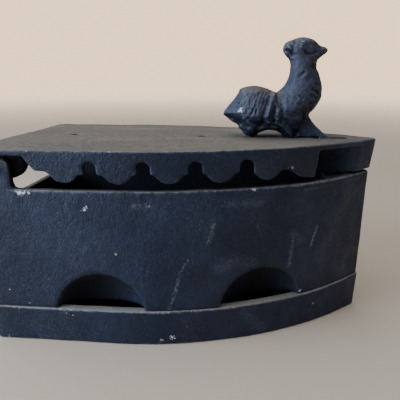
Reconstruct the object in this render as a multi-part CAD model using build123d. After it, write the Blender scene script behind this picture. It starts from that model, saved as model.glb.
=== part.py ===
from build123d import *
from math import asin, cos, degrees, radians, sin, sqrt, tan
import os

# Charcoal box iron with a hinged lid and a rooster latch. Millimetres, +Z up, +X towards the pointed tip.
# Stations along the iron are measured from the lid's rear edge and turned into X by at().

# Overall form
LENGTH = 215.0
HALF_WIDTH = 57.8
SIDE_RADIUS = 216.0  # plan radius of each curved side
SOLE_TOP = 21.0
RIM = 88.0  # top of the side walls
LID_TOP = 108.5
TIP_ROUND = 2.5
CORNER_ROUND = 4.0
TIP_SETBACK = 1.2  # the two side arcs would meet this far past the rounded tip
SHEER_START = 165.0  # from here to the tip the rim and the sole's top edge rise gently
SHEER_RADIUS = 625.0

# Shell
SHELL_INSET = 1.5  # how far the shell stands inside the lid's outline
SHELL_REAR = 0.8
WALL = 5.0
REAR_RIM = 76.0  # the rear wall is lower, which leaves a window under the lid
DRAFT_RADIUS = 24.6  # round draft hoods, scooped into each wall and open underneath
DRAFT_TOP = 42.2
DRAFT_DEPTH = 11.4
DRAFT_STATIONS = (63.3, 150.5)
HOOD_WALL = 4.0
POST_TOP = 103.4
POST_CORNER = 2.0
POST_FRONT_TOP = 21.0
POST_FRONT_FOOT = 21.6
POST_HEEL = REAR_RIM + 6.0  # below this the post's rear edge is the wall's own
POST_SHOULDER = 150.0  # direction, seen from the pin, of a point midway round the post's back
DECK_START = 184.5  # keeper deck across the inside of the tip
DECK_THICK = 5.0
DECK_NOTCH_END = 197.6
DECK_NOTCH_HALF = 4.5

# Sole
SOLE_TOP_INSET = 0.8
SOLE_FOOT_INSET = 1.4
SOLE_REAR = 0.3
SOLE_EDGE = 0.8  # bevel round the ironing face
PIT_INSET = SHELL_INSET + WALL
PIT_FLOOR = 11.0

# Lid
PLATE = 3.0
SKIRT = 4.0
LID_DRAFT = 0.063  # how much the lid draws in for each millimetre down
NOSE_GAP = 1.0  # between the nose and the rim
BOSS_HALF = 9.5
BOSS_START = 178.0
SLOT_HALF = 4.0
SLOT_START = 179.0
SLOT_END = 198.6
HANDLE_HOLES = (34.8, 113.8)
HANDLE_HOLE_RADIUS = 2.5

# Hinge
PIN_STATION = 13.0
PIN_HEIGHT = 98.0
PIN_RADIUS = 2.0
PIN_HEAD = 1.5
RUNNING = 0.06  # radial clearance of a turning fit
LUG_THICK = 6.0
LUG_GAP = 0.3
LUG_ROUND = (18.5, 101.0, 8.7)  # station, height and radius of the lug's rounded front
LUG_EYE = 5.6
LUG_NECK = ((9.0, 99.0), (26.6, 106.5))
OPEN_ANGLE = 100.0
SWING_GAP = 0.35

# Latch
PIVOT_STATION = 189.0
PIVOT_HEIGHT = 98.5
PIVOT_RADIUS = 1.8
LATCH_HALF = 3.0
REST_GAP = 0.15

# Screws and grate
SCREW_RADIUS = 2.4
SCREW_HEAD = 4.2
SCREW_HEAD_HEIGHT = 3.0
FOOT_TOP = 27.0
FOOT_RADIUS = 7.0
FOOT_PLACES = {"rear": (20.0, 44.6), "middle": (106.5, 42.0)}
FOOT_WEB = 9.0  # each foot is joined to the wall this far out
SCREW_END = 7.0
DRIVER_SLOT = (1.2, 1.4)  # width and depth of the slot in a screw's head
GRATE_BOTTOM = 46.0
GRATE_THICK = 4.0
GRATE_GAP = 1.3
GRATE_FRONT = 175.0
GRATE_SLOT = (4.5, 26.0)  # width and length of an air slot
GRATE_SLOT_START = 24.0
GRATE_SLOT_INNER = 4.0  # from the middle plane to a slot's inner end
GRATE_EDGE = 7.5  # solid iron left along the sides
GRATE_PITCH = 10.5
LEDGE_STATIONS = (30.0, 106.5, 160.0)  # ledges on the walls that carry the grate
LEDGE_HALF = 5.0
LEDGE_REACH = 4.0
LEDGE_TOP = GRATE_BOTTOM - 0.1

PLATE_BOTTOM = LID_TOP - PLATE
FAR = 200.0  # longer than anything it cuts
ARC_START = LENGTH + TIP_SETBACK - sqrt(SIDE_RADIUS**2 - (SIDE_RADIUS - HALF_WIDTH) ** 2)


def at(station):
    """X of a station measured forward from the lid's rear edge."""
    return station - LENGTH / 2


def outline(inset, rear, z):
    """The iron's plan outline, drawn in by an inset, as a face at height z."""
    half = HALF_WIDTH - inset
    radius = SIDE_RADIUS - inset
    centre = SIDE_RADIUS - HALF_WIDTH
    tip = ARC_START + sqrt(radius**2 - centre**2)
    turn = (tip - ARC_START) / 2
    middle = sqrt(radius**2 - turn**2) - centre
    rear_corner = [(at(rear), -half), (at(rear), half)]
    start = [(at(ARC_START), -half), (at(ARC_START), half)]
    bend = [(at(ARC_START + turn), -middle), (at(ARC_START + turn), middle)]
    point = (at(tip), 0)
    edges = [
        Line(rear_corner[0], start[0]),
        ThreePointArc(start[0], bend[0], point),
        ThreePointArc(point, bend[1], start[1]),
        Line(start[1], rear_corner[1]),
        Line(rear_corner[1], rear_corner[0]),
    ]
    face = make_face(edges)
    ends = face.vertices().sort_by(Axis.X)
    face = fillet(ends[:2], max(CORNER_ROUND - inset, 1.0))
    face = fillet(face.vertices().sort_by(Axis.X)[-1:], TIP_ROUND)
    return Pos(0, 0, z) * face


def block(inset, rear, low, high):
    """A straight-sided solid of the plan outline."""
    return extrude(outline(inset, rear, low), amount=high - low)


def side_face(points):
    """A face in the XZ plane from (station, height) corners."""
    return Plane.XZ * make_face(Polyline([(at(s), z) for s, z in points], close=True))


def sheer_arc(z):
    """The gently rising front stretch of an edge that is level at height z further back."""
    run = 2 * (LENGTH - SHEER_START)
    half, full = [SHEER_RADIUS - sqrt(SHEER_RADIUS**2 - x**2) for x in (run / 2, run)]
    return ThreePointArc((at(SHEER_START), z), (at(SHEER_START + run / 2), z + half),
                         (at(SHEER_START + run), z + full))


def under_sheer(z):
    """Side view of everything below such an edge."""
    rise = sheer_arc(z)
    end = rise @ 1
    below = Polyline([(end.X, end.Y), (end.X, -FAR), (at(-FAR), -FAR), (at(-FAR), z), (at(SHEER_START), z)])
    return Plane.XZ * make_face([rise, below])


def across(face, half):
    """A prism of an XZ face, reaching the same distance to both sides."""
    return extrude(face, amount=half, both=True)


def slab(low, high):
    """A box from two (station, y, z) corners."""
    size = [b - a for a, b in zip(low, high)]
    middle = [(a + b) / 2 for a, b in zip(low, high)]
    return Pos(at(middle[0]), middle[1], middle[2]) * Box(*size)


def rod(station, z, radius, half):
    """A cylinder along Y, centred on the iron's middle plane."""
    return Pos(at(station), 0, z) * Rot(90, 0, 0) * Cylinder(radius, 2 * half)


def upright(station, y, low, high, radius):
    """A vertical cylinder."""
    return Pos(at(station), y, (low + high) / 2) * Cylinder(radius, high - low)


def mirrored(solid):
    return solid + mirror(solid, about=Plane.XZ)


# ---------------------------------------------------------------- shell

def post_profile():
    """Side view of the shell: the post that carries the hinge pin, the rim, and the sole's top edge."""
    knuckle = PLATE_BOTTOM - PIN_HEIGHT - SWING_GAP
    lean = radians(OPEN_ANGLE + 2.0)
    foot = (PIN_STATION - knuckle * sin(lean), PIN_HEIGHT + knuckle * cos(lean))
    drop = foot[1] - POST_HEEL
    heel = foot[0] + drop * tan(lean - radians(90))
    rise = POST_TOP - PIN_HEIGHT
    crown = PIN_STATION - sqrt(knuckle**2 - rise**2)
    between = radians(POST_SHOULDER)
    shoulder = (PIN_STATION + knuckle * cos(between), PIN_HEIGHT + knuckle * sin(between))
    points = [(heel, foot[1] - drop), foot, (crown, POST_TOP), (POST_FRONT_TOP - POST_CORNER, POST_TOP)]
    flat = [(at(s), z) for s, z in points]
    front = (at(POST_FRONT_TOP), POST_TOP - POST_CORNER)
    base = (at(POST_FRONT_FOOT), RIM)
    rise = sheer_arc(RIM)
    bed = sheer_arc(SOLE_TOP)
    edges = [
        Line(flat[0], flat[1]),
        ThreePointArc(flat[1], (at(shoulder[0]), shoulder[1]), flat[2]),
        Line(flat[2], flat[3]),
        Line(flat[3], front),
        Line(front, base),
        Line(base, rise @ 0),
        rise,
        Line(rise @ 1, bed @ 1),
        bed,
        Line(bed @ 0, (at(-FAR), SOLE_TOP)),
        Line((at(-FAR), SOLE_TOP), (at(-FAR), POST_HEEL)),
        Line((at(-FAR), POST_HEEL), flat[0]),
    ]
    return Plane.XZ * make_face(edges)


def draft_hood(station, wall):
    """A flattened ball sunk into the left wall at a station, grown by a wall thickness."""
    radius = SIDE_RADIUS - SHELL_INSET
    turn = asin(max(station - ARC_START, 0) / radius)
    y = radius * cos(turn) - (SIDE_RADIUS - HALF_WIDTH)
    around, deep = DRAFT_RADIUS + wall, DRAFT_DEPTH + wall
    half = Ellipse(around, deep) & Pos(around, 0) * Rectangle(2 * around, 3 * deep)
    ball = revolve(half, axis=Axis.Y)
    return Pos(at(station), y, DRAFT_TOP - DRAFT_RADIUS) * Rot(0, 0, -degrees(turn)) * ball


def body_shell():
    inner = SHELL_INSET + WALL
    solid = block(SHELL_INSET, SHELL_REAR, SOLE_TOP - 1, POST_TOP)
    solid -= block(inner, SHELL_REAR + WALL, SOLE_TOP - 2, POST_TOP + 1)
    for station in DRAFT_STATIONS:
        hood = draft_hood(station, HOOD_WALL) & block(SHELL_INSET + 1, SHELL_REAR, SOLE_TOP - 1, RIM)
        solid += mirrored(hood)
        solid -= mirrored(draft_hood(station, 0))
    window = slab((-FAR, -HALF_WIDTH + inner, REAR_RIM), (POST_FRONT_FOOT, HALF_WIDTH - inner, FAR))
    solid -= window
    solid &= across(post_profile(), FAR)
    deck = block(SHELL_INSET + 1, SHELL_REAR, RIM - DECK_THICK, RIM)
    deck &= slab((DECK_START, -FAR, 0), (2 * FAR, FAR, FAR))
    deck -= slab((0, -DECK_NOTCH_HALF, 0), (DECK_NOTCH_END, DECK_NOTCH_HALF, FAR))
    solid += deck
    for station, y in FOOT_PLACES.values():
        foot = upright(station, y, SOLE_TOP, FOOT_TOP, FOOT_RADIUS)
        web = slab((station - FOOT_RADIUS, y, SOLE_TOP), (station + FOOT_RADIUS, y + FOOT_WEB, FOOT_TOP))
        web &= block(SHELL_INSET + 1, SHELL_REAR + 1, SOLE_TOP, FOOT_TOP)
        solid += mirrored(foot + web)
    for station in LEDGE_STATIONS:
        low, high = GRATE_BOTTOM - LEDGE_HALF, LEDGE_TOP
        ledge = slab((station - LEDGE_HALF, 0, low), (station + LEDGE_HALF, HALF_WIDTH, high))
        ledge &= block(SHELL_INSET + 1, SHELL_REAR + 1, 0, RIM)
        ledge -= block(inner + LEDGE_REACH, SHELL_REAR + WALL, 0, RIM)
        solid += mirrored(ledge)
    for station, y in FOOT_PLACES.values():
        for side in (-y, y):
            solid -= upright(station, side, SOLE_TOP, FOOT_TOP, SCREW_RADIUS + 0.3)
    solid -= rod(PIN_STATION, PIN_HEIGHT, PIN_RADIUS, FAR)
    return solid


# ---------------------------------------------------------------- sole

def sole_plate():
    bevel = outline(SOLE_FOOT_INSET + SOLE_EDGE, SOLE_REAR + 2 * SOLE_EDGE, 0)
    foot = outline(SOLE_FOOT_INSET, SOLE_REAR + SOLE_EDGE, SOLE_EDGE)
    top = outline(SOLE_TOP_INSET, SOLE_REAR, SOLE_TOP + 3)
    solid = loft([bevel, foot, top], ruled=True) & across(under_sheer(SOLE_TOP), FAR)
    pit = block(PIT_INSET, SHELL_REAR + WALL, PIT_FLOOR, SOLE_TOP + 5)
    for station, y in FOOT_PLACES.values():
        for side in (-1, 1):
            pit -= upright(station, side * y, PIT_FLOOR, SOLE_TOP, FOOT_RADIUS)
            inner, outer = sorted((side * y, side * HALF_WIDTH))
            pit -= slab((station - FOOT_RADIUS, inner, PIT_FLOOR), (station + FOOT_RADIUS, outer, SOLE_TOP))
    solid -= pit
    for station, y in FOOT_PLACES.values():
        for side in (-y, y):
            solid -= upright(station, side, SCREW_END - 1, SOLE_TOP, SCREW_RADIUS)
    return solid


def sole_screw(station, y):
    shank = upright(station, y, SCREW_END, FOOT_TOP, SCREW_RADIUS)
    head = upright(station, y, FOOT_TOP, FOOT_TOP + SCREW_HEAD_HEIGHT, SCREW_HEAD)
    head = fillet(head.edges().filter_by(GeomType.CIRCLE).sort_by(Axis.Z)[-1:], 1.0)
    width, deep = DRIVER_SLOT
    low = FOOT_TOP + SCREW_HEAD_HEIGHT - deep
    driver = slab((station - width / 2, y - SCREW_HEAD, low), (station + width / 2, y + SCREW_HEAD, FAR))
    return shank + head - driver


# ---------------------------------------------------------------- grate

def fire_grate():
    inset = SHELL_INSET + WALL + GRATE_GAP
    solid = block(inset, SHELL_REAR + WALL + GRATE_GAP, GRATE_BOTTOM, GRATE_BOTTOM + GRATE_THICK)
    solid &= slab((0, -FAR, 0), (GRATE_FRONT, FAR, FAR))
    width, run = GRATE_SLOT
    top = GRATE_BOTTOM + GRATE_THICK
    count = int((GRATE_FRONT - GRATE_PITCH - GRATE_SLOT_START) / GRATE_PITCH) + 1
    for station in [GRATE_SLOT_START + GRATE_PITCH * i for i in range(count)]:
        past = max(station + GRATE_PITCH / 2 - ARC_START, 0)
        half = sqrt(SIDE_RADIUS**2 - past**2) - (SIDE_RADIUS - HALF_WIDTH)
        reach = min(run, half - inset - GRATE_EDGE)
        if reach > 3 * width:
            start, end = station - width / 2, station + width / 2
            bar = slab((start, GRATE_SLOT_INNER, GRATE_BOTTOM), (end, GRATE_SLOT_INNER + reach, top))
            bar = fillet(bar.edges().filter_by(Axis.Z), width / 2 - 0.01)
            solid -= mirrored(bar)
    return solid


# ---------------------------------------------------------------- lid

TEETH = (49.8, 76.9, 101.9, 127.0, 150.4)
TOOTH_BOTTOM = 91.7
TOOTH_HALF = 7.0
SHOULDER = 96.2
NOTCHES = (63.2, 89.3, 114.6, 139.8)
NOTCH_TOP = 102.9
NOTCH_HALF = 3.3
NOTCH_FLARE = 1.3
SKIRT_HEEL = ((29.5, PLATE_BOTTOM), (32.4, 101.2), (35.2, 98.0), (40.6, 97.6))
SKIRT_ARCH = ((161.2, 96.3), (165.4, 93.8), (169.3, 91.7))
SKIRT_END = ((176.6, 90.4), (177.9, PLATE_BOTTOM))


def flare(x, way, size):
    """The rounded foot of a notch's side: from the side at x to the shoulder beside it."""
    inner = size * (1 - sqrt(0.5))
    middle = (x + way * inner, SHOULDER + inner)
    return ThreePointArc((x, SHOULDER + size), middle, (x + way * size, SHOULDER))


def notch_edges(start, station, end):
    """A round-topped notch between two shoulder ends, as the edges from one to the other."""
    crown = NOTCH_TOP - NOTCH_HALF
    left, right = at(station - NOTCH_HALF), at(station + NOTCH_HALF)
    rear = flare(left, -1, min(NOTCH_FLARE, (left - start[0]) * 0.9))
    front = flare(right, 1, min(NOTCH_FLARE, (end[0] - right) * 0.9))
    return [Line(start, rear @ 1), rear, Line(rear @ 0, (left, crown)),
            ThreePointArc((left, crown), (at(station), NOTCH_TOP), (right, crown)),
            Line((right, crown), front @ 0), front, Line(front @ 1, end)]


def skirt_edge():
    """Side view of the opening under the skirt: notches between rounded teeth."""
    heel = [(at(s), z) for s, z in SKIRT_HEEL]
    tooth_ends = [[(at(s + reach), SHOULDER) for reach in (-TOOTH_HALF, TOOTH_HALF)] for s in TEETH]
    edges = [Polyline(heel + [tooth_ends[0][0]])]
    for station, (rear, front) in zip(TEETH, tooth_ends):
        edges.append(ThreePointArc(rear, (at(station), TOOTH_BOTTOM), front))
    for station, before, after in zip(NOTCHES, tooth_ends, tooth_ends[1:]):
        edges += notch_edges(before[1], station, after[0])
    arch = [(at(s), z) for s, z in SKIRT_ARCH]
    end = [(at(s), z) for s, z in SKIRT_END]
    edges.append(Spline([tooth_ends[-1][1]] + arch, tangents=[(1, 0.55), (1, -0.25)]))
    low = RIM - 20
    below = [(at(2 * FAR), PLATE_BOTTOM), (at(2 * FAR), low), (at(-FAR), low), (at(-FAR), PLATE_BOTTOM)]
    edges.append(Polyline([arch[-1]] + end + below + [heel[0]]))
    return Plane.XZ * make_face(edges)


def tapered_core(low):
    """The solid under the plate, drawn in towards the bottom."""
    draw = [(LID_DRAFT * (LID_TOP - z), z) for z in (PLATE_BOTTOM, low)]
    upper, lower = [outline(inset, inset, z) for inset, z in draw]
    return loft([lower, upper], ruled=True)


def lid():
    plate_low = outline(LID_DRAFT * PLATE, LID_DRAFT * PLATE, PLATE_BOTTOM)
    plate = loft([plate_low, outline(0, 0, LID_TOP)], ruled=True)
    core = tapered_core(RIM)
    skirt = core - block(SKIRT + 1, -FAR, RIM - 1, PLATE_BOTTOM)
    skirt -= across(skirt_edge(), FAR)
    nose = core & slab((BOSS_START, -BOSS_HALF, 0), (2 * FAR, BOSS_HALF, PLATE_BOTTOM))
    nose -= across(under_sheer(RIM + NOSE_GAP), FAR)
    solid = plate + skirt + nose
    for side in (-1, 1):
        solid += hinge_lug(side)
    solid -= slab((SLOT_START, -SLOT_HALF, PLATE_BOTTOM - 1), (SLOT_END, SLOT_HALF, FAR))
    solid -= slab((BOSS_START - 5, -SLOT_HALF, 0), (SLOT_END, SLOT_HALF, PLATE_BOTTOM))
    for station in HANDLE_HOLES:
        solid -= upright(station, 0, PLATE_BOTTOM - 5, LID_TOP + 5, HANDLE_HOLE_RADIUS)
    solid -= rod(PIVOT_STATION, PIVOT_HEIGHT, PIVOT_RADIUS, BOSS_HALF + 2)
    solid -= rod(PIN_STATION, PIN_HEIGHT, PIN_RADIUS + RUNNING, HALF_WIDTH - 6)
    return solid


def hinge_lug(side):
    """A D-shaped lug under the plate, just inboard of a post."""
    outer = HALF_WIDTH - SHELL_INSET - WALL - LUG_GAP
    round_part = rod(*LUG_ROUND, LUG_THICK / 2)
    eye = rod(PIN_STATION, PIN_HEIGHT, LUG_EYE, LUG_THICK / 2)
    (rear, low), (front, high) = LUG_NECK
    neck = slab((rear, -LUG_THICK / 2, low), (front, LUG_THICK / 2, high))
    solid = (round_part + eye + neck) & slab((0, -FAR, 0), (FAR, FAR, high))
    return Pos(0, side * (outer - LUG_THICK / 2), 0) * solid


# ---------------------------------------------------------------- pins

def hinge_pin():
    half = HALF_WIDTH - SHELL_INSET
    solid = rod(PIN_STATION, PIN_HEIGHT, PIN_RADIUS, half)
    for side in (-1, 1):
        head = Pos(at(PIN_STATION), side * (half + PIN_HEAD / 2), PIN_HEIGHT) * Rot(90, 0, 0)
        head = head * Cylinder(PIN_RADIUS + 1.4, PIN_HEAD)
        rim = head.edges().filter_by(GeomType.CIRCLE).sort_by(Axis.Y)
        head = fillet(rim[-1:] if side > 0 else rim[:1], PIN_HEAD * 0.8)
        solid += head
    return solid


def latch_pin():
    return rod(PIVOT_STATION, PIVOT_HEIGHT, PIVOT_RADIUS, BOSS_HALF - 0.3)


# ---------------------------------------------------------------- latch

def egg(station, y, z, long, wide, lean):
    """A solid of revolution about its long axis, leaning from +X towards +Z by an angle."""
    half = make_face([
        ThreePointArc((-long, 0), (0, wide), (long, 0)) if long == wide else
        Spline([(-long, 0), (-long * 0.71, wide * 0.71), (0, wide), (long * 0.71, wide * 0.71), (long, 0)],
               tangents=[(0, 1), (0, -1)]),
        Line((long, 0), (-long, 0)),
    ])
    body = revolve(half, axis=Axis.X)
    return Pos(at(station), y, z) * Rot(0, -lean, 0) * body


def stub(start, end, r0, r1):
    """A tapered round bar between two (station, y, z) points."""
    a = Vector(at(start[0]), start[1], start[2])
    b = Vector(at(end[0]), end[1], end[2])
    way = b - a
    middle = (a + b) * 0.5
    return Plane(origin=middle, z_dir=way) * Cone(r0, r1, way.length)


BIRD_BASE = LID_TOP + REST_GAP
RUMP = (147.0, 0, 122.6, 18.0, 12.8, 8)
CHEST = (169.0, 0, 129.0, 14.0, 11.0, 80)
HEAD = (168.6, 0, 156.0, 9.6, 7.0, 0)
NECK = ((168.5, 0, 134.0), (170.6, 0, 150.5), 10.0, 7.6)
BEAK = ((173.5, 0, 156.8), (183.4, 0, 156.2), 4.6, 0.9)
TAIL = ((141.0, 0, 125.5), (127.0, 0, 121.4), 10.5, 2.4)
WAIST = ((152.0, 0, 121.0), (168.0, 0, 120.0), 9.4, 9.0)
REAR_LEGS = ((142.6, 0, 119.0), (142.3, 0, BIRD_BASE), 9.0, 5.6)
FRONT_LEGS = ((165.5, 0, 121.0), (164.6, 0, BIRD_BASE), 8.6, 5.2)
# The web under the bird's breast, which passes through the lid and ends in the hook
HOOK = ((164, BIRD_BASE), (181.5, BIRD_BASE), (183.5, PIVOT_HEIGHT), (185.6, 86), (186.2, 77.5), (188.2, 76),
        (195.6, 76), (196.2, 77.5), (195.4, 81.5), (192.6, 83), (192.8, 88), (194.4, PIVOT_HEIGHT),
        (191.9, BIRD_BASE), (182.7, 113.0), (176.6, 117.2), (173.5, 122), (166, 124))


def rooster_latch():
    bird = egg(*RUMP) + egg(*CHEST) + stub(*NECK) + egg(*HEAD)
    for part in (BEAK, TAIL, WAIST, REAR_LEGS, FRONT_LEGS):
        bird += stub(*part)
    bird &= slab((0, -FAR, BIRD_BASE), (2 * FAR, FAR, FAR))
    solid = bird + across(side_face(HOOK), LATCH_HALF)
    solid -= rod(PIVOT_STATION, PIVOT_HEIGHT, PIVOT_RADIUS + RUNNING, 10)
    return solid


PARTS = {
    "sole_plate": sole_plate,
    "body_shell": body_shell,
    "fire_grate": fire_grate,
    "lid": lid,
    "hinge_pin": hinge_pin,
    "rooster_latch": rooster_latch,
    "latch_pin": latch_pin,
}


def main():
    os.makedirs("parts", exist_ok=True)
    for name, make in PARTS.items():
        export_step(make(), f"parts/{name}.step")
    for place, (station, y) in FOOT_PLACES.items():
        for side, sign in (("right", -1), ("left", 1)):
            export_step(sole_screw(station, sign * y), f"parts/sole_screw_{place}_{side}.step")


main()
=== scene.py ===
import math

import bpy
import numpy as np
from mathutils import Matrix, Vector


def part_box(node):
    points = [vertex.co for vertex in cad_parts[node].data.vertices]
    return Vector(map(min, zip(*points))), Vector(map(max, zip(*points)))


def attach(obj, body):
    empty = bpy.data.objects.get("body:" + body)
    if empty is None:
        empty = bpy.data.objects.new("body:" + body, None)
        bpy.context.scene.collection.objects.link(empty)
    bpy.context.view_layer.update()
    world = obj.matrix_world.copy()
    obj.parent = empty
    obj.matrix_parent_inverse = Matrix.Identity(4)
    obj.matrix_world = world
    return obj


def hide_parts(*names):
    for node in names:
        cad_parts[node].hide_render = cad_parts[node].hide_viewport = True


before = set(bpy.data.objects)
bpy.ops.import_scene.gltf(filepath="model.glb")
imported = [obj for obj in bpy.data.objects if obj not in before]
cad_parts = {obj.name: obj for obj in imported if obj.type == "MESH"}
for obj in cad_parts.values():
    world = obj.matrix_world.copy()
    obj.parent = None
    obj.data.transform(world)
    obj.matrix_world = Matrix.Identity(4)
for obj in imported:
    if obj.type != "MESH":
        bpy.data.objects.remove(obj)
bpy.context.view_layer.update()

# Lengths below are millimetres along the iron (station, from the lid's rear edge), across it (y) and up (z).
MM = 0.001
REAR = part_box("lid")[0].x
LID_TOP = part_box("lid")[1].z / MM
HALF_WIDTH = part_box("lid")[1].y / MM
SIDE_RADIUS = 216.0  # plan radius of the iron's curved sides
ARC_START = 69.1  # station where they start to curve
WALL_INSET = 1.5  # how far the box's wall stands inside the lid's outline


def at(station):
    """Where a station is along X, in metres."""
    return REAR + station * MM


def link(obj):
    bpy.context.scene.collection.objects.link(obj)
    return obj


# ---------------------------------------------------------------- shader nodes

class Shader:
    """A material's node tree, with a short call for each kind of node it needs."""

    def __init__(self, name):
        self.material = bpy.data.materials.new(name)
        self.material.use_nodes = True
        self.nodes = self.material.node_tree.nodes
        self.links = self.material.node_tree.links
        self.surface = self.nodes["Principled BSDF"]
        self.place = self.nodes.new("ShaderNodeTexCoord").outputs["Object"]
        self.geometry = self.nodes.new("ShaderNodeNewGeometry")

    def put(self, value, socket):
        """Sets a socket to a number or colour, or links it to another node's output."""
        if isinstance(value, bpy.types.NodeSocket):
            self.links.new(value, socket)
        else:
            socket.default_value = value

    def math(self, operation, a, b=0.0, clamp=False):
        """One operation on one or two numbers."""
        node = self.nodes.new("ShaderNodeMath")
        node.operation = operation
        node.use_clamp = clamp
        self.put(a, node.inputs[0])
        self.put(b, node.inputs[1])
        return node.outputs[0]

    def times(self, a, b):
        return self.math("MULTIPLY", a, b)

    def plus(self, a, b):
        return self.math("ADD", a, b)

    def minus(self, a, b):
        return self.math("SUBTRACT", a, b)

    def most(self, first, *others):
        """The largest of some numbers."""
        for value in others:
            first = self.math("MAXIMUM", first, value)
        return first

    def vector(self, operation, a, b=(0, 0, 0)):
        """One operation on one or two vectors. A length, a distance and a dot product give a number."""
        node = self.nodes.new("ShaderNodeVectorMath")
        node.operation = operation
        self.put(a, node.inputs[0])
        self.put(b, node.inputs[1])
        return node.outputs["Value" if operation in ("LENGTH", "DISTANCE", "DOT_PRODUCT") else "Vector"]

    def ramp(self, value, low, high, start=0.0, end=1.0):
        """Smoothly from start, where value is low, to end, where it is high."""
        node = self.nodes.new("ShaderNodeMapRange")
        node.interpolation_type = "SMOOTHSTEP"
        for socket, number in zip(node.inputs[:5], (value, low, high, start, end)):
            self.put(number, socket)
        return node.outputs[0]

    def noise(self, size_mm, detail=3.0, roughness=0.55, stretch=(1, 1, 1), distortion=0.0):
        """Noise about 0.5, with features of that size."""
        node = self.nodes.new("ShaderNodeTexNoise")
        self.put(self.vector("MULTIPLY", self.place, stretch), node.inputs["Vector"])
        node.inputs["Scale"].default_value = 1 / (size_mm * MM)
        node.inputs["Detail"].default_value = detail
        node.inputs["Roughness"].default_value = roughness
        node.inputs["Distortion"].default_value = distortion
        return node.outputs["Fac"]

    def mix(self, amount, a, b):
        """Colour a turning into colour b."""
        node = self.nodes.new("ShaderNodeMix")
        node.data_type = "RGBA"
        self.put(amount, node.inputs["Factor"])
        for value, socket in ((a, node.inputs[6]), (b, node.inputs[7])):
            self.put(value if isinstance(value, bpy.types.NodeSocket) else (*value, 1.0), socket)
        return node.outputs[2]

    def blend(self, amount, a, b):
        """Number a turning into number b."""
        node = self.nodes.new("ShaderNodeMix")
        self.put(amount, node.inputs["Factor"])
        self.put(a, node.inputs[2])
        self.put(b, node.inputs[3])
        return node.outputs[0]

    def axes(self, vector):
        """A vector's X, Y and Z."""
        node = self.nodes.new("ShaderNodeSeparateXYZ")
        self.put(vector, node.inputs[0])
        return node.outputs

    def bump(self, height, distance_mm, under=None):
        """The surface's direction with a relief of that height, and with another relief under it."""
        node = self.nodes.new("ShaderNodeBump")
        node.inputs["Distance"].default_value = distance_mm * MM
        self.put(height, node.inputs["Height"])
        if under:
            self.put(under, node.inputs["Normal"])
        return node.outputs[0]

    def facing(self, low, high):
        """From 0 to 1 as the upward part of the surface's direction, at rest, goes from low to high."""
        node = self.nodes.new("ShaderNodeTexCoord")
        return self.ramp(self.axes(node.outputs["Normal"])["Z"], low, high)

    def upward(self):
        """1 on what faces up enough for dust and ash to lie there, and for the light painted with the dust.
        """
        return self.facing(0.55, 0.85)

    def spot(self, ragged, station, y, z, radius):
        """1 within a spot, whose edge is as uneven as the numbers in ragged, which are about 0."""
        far = self.vector("DISTANCE", self.place, (at(station), y * MM, z * MM))
        far = self.plus(far, self.times(ragged, radius * MM))
        return self.ramp(far, radius * MM, radius * MM * 0.7)

    def scratch(self, start, end, width):
        """1 along a line between two (station, y, z) points, fading towards its sides."""
        a = Vector((at(start[0]), start[1] * MM, start[2] * MM))
        b = Vector((at(end[0]), end[1] * MM, end[2] * MM))
        way = b - a
        offset = self.vector("SUBTRACT", self.place, tuple(a))
        along = self.vector("DOT_PRODUCT", offset, tuple(way))
        along = self.math("DIVIDE", along, way.length_squared, clamp=True)
        node = self.nodes.new("ShaderNodeVectorMath")
        node.operation = "SCALE"
        node.inputs[0].default_value = tuple(way)
        self.put(along, node.inputs["Scale"])
        far = self.vector("DISTANCE", offset, node.outputs["Vector"])
        wander = self.times(self.minus(self.noise(2.6, 3, 0.7), 0.5), 2 * MM)
        far = self.plus(far, wander)
        return self.ramp(far, width * 1.15 * MM, 0.0)

    def finish(self, colour, roughness, normal, metallic=0.0, specular=0.5):
        """Joins the results to the surface and gives the material."""
        self.put(colour, self.surface.inputs["Base Color"])
        self.put(roughness, self.surface.inputs["Roughness"])
        self.put(normal, self.surface.inputs["Normal"])
        self.surface.inputs["Metallic"].default_value = metallic
        self.surface.inputs["Specular IOR Level"].default_value = specular
        return self.material


# ---------------------------------------------------------------- materials

PAINT_DARK = (0.0080, 0.0122, 0.0300)
PAINT_LIGHT = (0.0200, 0.0280, 0.060)
PAINT_WARM = (0.0125, 0.0138, 0.036)
CHALK = (0.066, 0.084, 0.126)
WORN = (0.20, 0.225, 0.265)
# dust on what faces up, which also paints light there: a warm reflection and brightness on the tops
DUST_AND_TOP_LIGHT = (0.195, 0.169, 0.130)
# paler dust on the sole's ledge, which also paints the light that falls there
LEDGE_DUST_AND_LIGHT = (0.24, 0.235, 0.21)
# black of soot, which also paints the shade inside the box, in the ash pit and under the lid
SOOT_AND_SHADE = (0.0055, 0.0052, 0.005)
CHIP = (0.66, 0.69, 0.72)
PAINT_GLOSS_TINT = (0.72, 0.82, 1.0, 1)
BURNT_IRON = ((0.016, 0.013, 0.011), (0.050, 0.034, 0.024))  # darkest and palest, as for the steels
BURNT_EDGE = (0.085, 0.070, 0.058)
ASH = (0.105, 0.098, 0.090)
RUST = (0.085, 0.040, 0.022)
PIN_STEEL = ((0.030, 0.030, 0.032), (0.085, 0.083, 0.080))
SCREW_STEEL = ((0.045, 0.040, 0.036), (0.12, 0.105, 0.09))

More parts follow.
